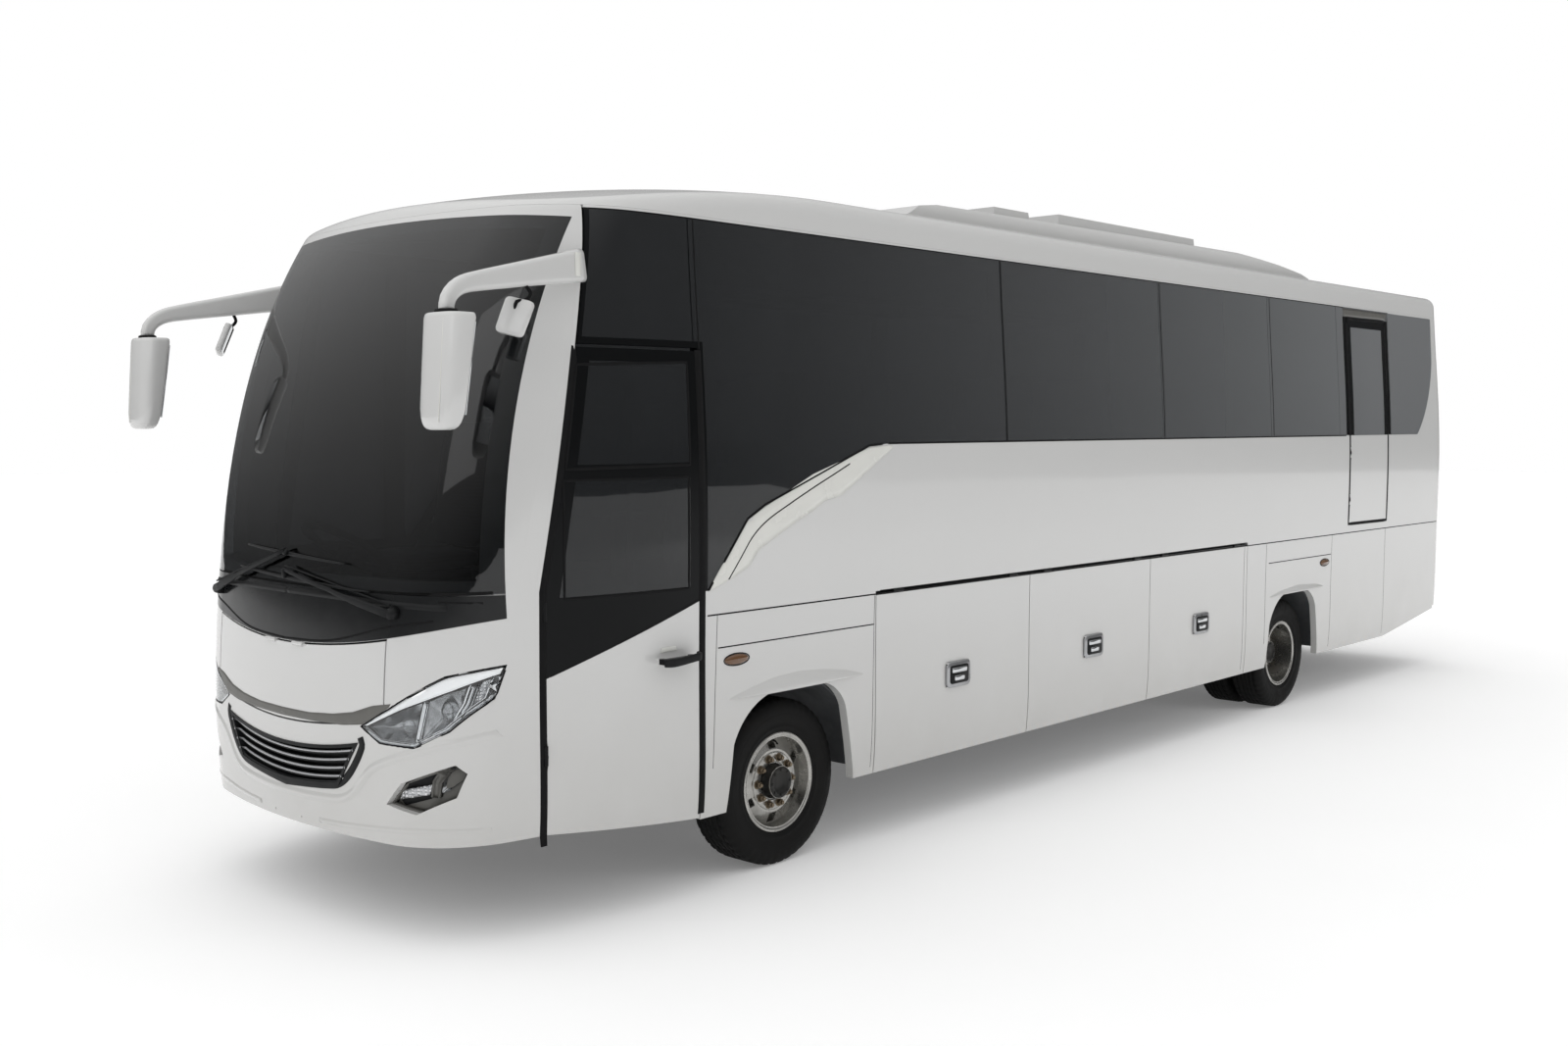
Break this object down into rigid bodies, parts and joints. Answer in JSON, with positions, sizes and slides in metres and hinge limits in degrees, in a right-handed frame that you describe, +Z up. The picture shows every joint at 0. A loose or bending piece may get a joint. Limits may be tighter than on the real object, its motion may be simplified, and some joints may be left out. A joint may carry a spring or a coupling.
{
  "type": "shuttle bus",
  "caption": "High-floor midi coach with luggage bays under the saloon, a front passenger door, an emergency door, twin rear wheels, arm mirrors and a roof air unit.",
  "frame": {"origin": "on the ground below the middle of the overall length and width", "axes": "+X to the coach's left, -Y its front, +Z up"},
  "size_m": [2.605, 10.3523, 3.3824],
  "materials": {
    "body_white": "gloss",
    "dark_glass": "gloss",
    "black_trim": "satin",
    "grille_plastic": "satin",
    "bumper_plastic": "gloss",
    "lamp_clear": "gloss",
    "lamp_red": "gloss",
    "bay_sheet": "matt",
    "floor_mat": "matt",
    "dash_plastic": "matt",
    "seat_fabric": "woven",
    "chassis_paint": "satin",
    "cast_block": "matt",
    "spring_steel": "dark",
    "tank_steel": "satin",
    "tyre_rubber": "matt",
    "wheel_paint": "satin"
  },
  "bodies": {
    "coach": {"cab_floor": "floor_mat", "chassis_frame": "chassis_paint", "cowl_band": "black_trim", "dashboard": "dash_plastic", "driver_seat": "seat_fabric", "engine": "cast_block", "engine_cover": "floor_mat", "entrance_steps": "floor_mat", "floor": "floor_mat", "fog_lamps": "lamp_clear", "front_axle": "chassis_paint", "front_panel": "body_white", "fuel_tank": "tank_steel", "grille": "grille_plastic", "headlamps": "lamp_clear", "leaf_springs": "spring_steel", "luggage_bays": "bay_sheet", "mirror_left": "body_white", "mirror_right": "body_white", "passenger_seats": "seat_fabric", "prop_shaft": "chassis_paint", "rear_axle": "chassis_paint", "rear_bumper": "bumper_plastic", "rear_wall": "body_white", "rear_window": "dark_glass", "roof": "body_white", "roof_air_unit": "body_white", "side_glass_left": "dark_glass", "side_glass_right": "dark_glass", "side_wall_left": "body_white", "side_wall_right": "body_white", "silencer": "tank_steel", "tail_lamps": "lamp_red", "wheel_liners": "bay_sheet", "windscreen": "dark_glass", "wipers": "black_trim"},
    "wheel_fl": {"tyre_front_left": "tyre_rubber", "wheel_front_left": "wheel_paint"},
    "wheel_fr": {"tyre_front_right": "tyre_rubber", "wheel_front_right": "wheel_paint"},
    "wheels_rl": {"tyres_rear_left": "tyre_rubber", "wheel_rear_left": "wheel_paint"},
    "wheels_rr": {"tyres_rear_right": "tyre_rubber", "wheel_rear_right": "wheel_paint"},
    "knuckle_l": {"knuckle_left": "cast_block"},
    "knuckle_r": {"knuckle_right": "cast_block"},
    "tie_rod": {"tie_rod": "spring_steel"},
    "entrance_door": {"entrance_door": "body_white", "entrance_door_glass": "dark_glass"},
    "exit_door": {"exit_door": "body_white", "exit_door_glass": "dark_glass"},
    "bonnet": {"bonnet_flap": "body_white"},
    "boot": {"boot_lid": "body_white"},
    "flap_left_1": {"luggage_flap_left_1": "body_white"},
    "flap_left_2": {"luggage_flap_left_2": "body_white"},
    "flap_left_3": {"luggage_flap_left_3": "body_white"},
    "flap_right_1": {"luggage_flap_right_1": "body_white"},
    "flap_right_2": {"luggage_flap_right_2": "body_white"},
    "flap_right_3": {"luggage_flap_right_3": "body_white"}
  },
  "joints": [
    {"name": "steer_left", "type": "hinge", "parent": "coach", "child": "knuckle_l", "pos_m": [0.82, -3.18875, 0.3915], "axis": [0, 0, 1], "range_deg": [-32, 32]},
    {"name": "steer_right", "type": "hinge", "parent": "coach", "child": "knuckle_r", "pos_m": [-0.82, -3.18875, 0.3915], "axis": [0, 0, 1], "range_deg": [-32, 32]},
    {"name": "tie_rod_pivot", "type": "hinge", "parent": "knuckle_l", "child": "tie_rod", "pos_m": [0.82, -3.01875, 0.3295], "axis": [0, 0, 1], "range_deg": [-32, 32]},
    {"name": "spin_front_left", "type": "hinge", "parent": "knuckle_l", "child": "wheel_fl", "pos_m": [0.97, -3.18875, 0.3915], "axis": [1, 0, 0], "continuous": true},
    {"name": "spin_front_right", "type": "hinge", "parent": "knuckle_r", "child": "wheel_fr", "pos_m": [-0.97, -3.18875, 0.3915], "axis": [1, 0, 0], "continuous": true},
    {"name": "spin_rear_left", "type": "hinge", "parent": "coach", "child": "wheels_rl", "pos_m": [0.97, 2.19125, 0.3915], "axis": [1, 0, 0], "continuous": true},
    {"name": "spin_rear_right", "type": "hinge", "parent": "coach", "child": "wheels_rr", "pos_m": [-0.97, 2.19125, 0.3915], "axis": [1, 0, 0], "continuous": true},
    {"name": "entrance_door_hinge", "type": "hinge", "parent": "coach", "child": "entrance_door", "pos_m": [1.07531, -4.56375, 1.03], "axis": [0, 0, -1], "range_deg": [0, 80]},
    {"name": "exit_door_hinge", "type": "hinge", "parent": "coach", "child": "exit_door", "pos_m": [1.175, 3.13125, 1.66], "axis": [0, 0, -1], "range_deg": [0, 85]},
    {"name": "bonnet_hinge", "type": "hinge", "parent": "coach", "child": "bonnet", "pos_m": [0, -5.09387, 1.1575], "axis": [-1, 0, 0], "range_deg": [0, 60]},
    {"name": "boot_hinge", "type": "hinge", "parent": "coach", "child": "boot", "pos_m": [0, 5.15125, 1.48], "axis": [1, 0, 0], "range_deg": [0, 80]},
    {"name": "flap_left_1_hinge", "type": "hinge", "parent": "coach", "child": "flap_left_1", "pos_m": [1.175, -1.92375, 1.24], "axis": [0, -1, 0], "range_deg": [0, 85]},
    {"name": "flap_left_2_hinge", "type": "hinge", "parent": "coach", "child": "flap_left_2", "pos_m": [1.175, -0.57875, 1.24], "axis": [0, -1, 0], "range_deg": [0, 85]},
    {"name": "flap_left_3_hinge", "type": "hinge", "parent": "coach", "child": "flap_left_3", "pos_m": [1.175, 0.75625, 1.24], "axis": [0, -1, 0], "range_deg": [0, 85]},
    {"name": "flap_right_1_hinge", "type": "hinge", "parent": "coach", "child": "flap_right_1", "pos_m": [-1.175, -1.92375, 1.24], "axis": [0, 1, 0], "range_deg": [0, 85]},
    {"name": "flap_right_2_hinge", "type": "hinge", "parent": "coach", "child": "flap_right_2", "pos_m": [-1.175, -0.57875, 1.24], "axis": [0, 1, 0], "range_deg": [0, 85]},
    {"name": "flap_right_3_hinge", "type": "hinge", "parent": "coach", "child": "flap_right_3", "pos_m": [-1.175, 0.75625, 1.24], "axis": [0, 1, 0], "range_deg": [0, 85]}
  ],
  "couplings": [
    {"joint": "steer_right", "follows": "steer_left", "ratio": 1},
    {"joint": "tie_rod_pivot", "follows": "steer_left", "ratio": -1}
  ]
}
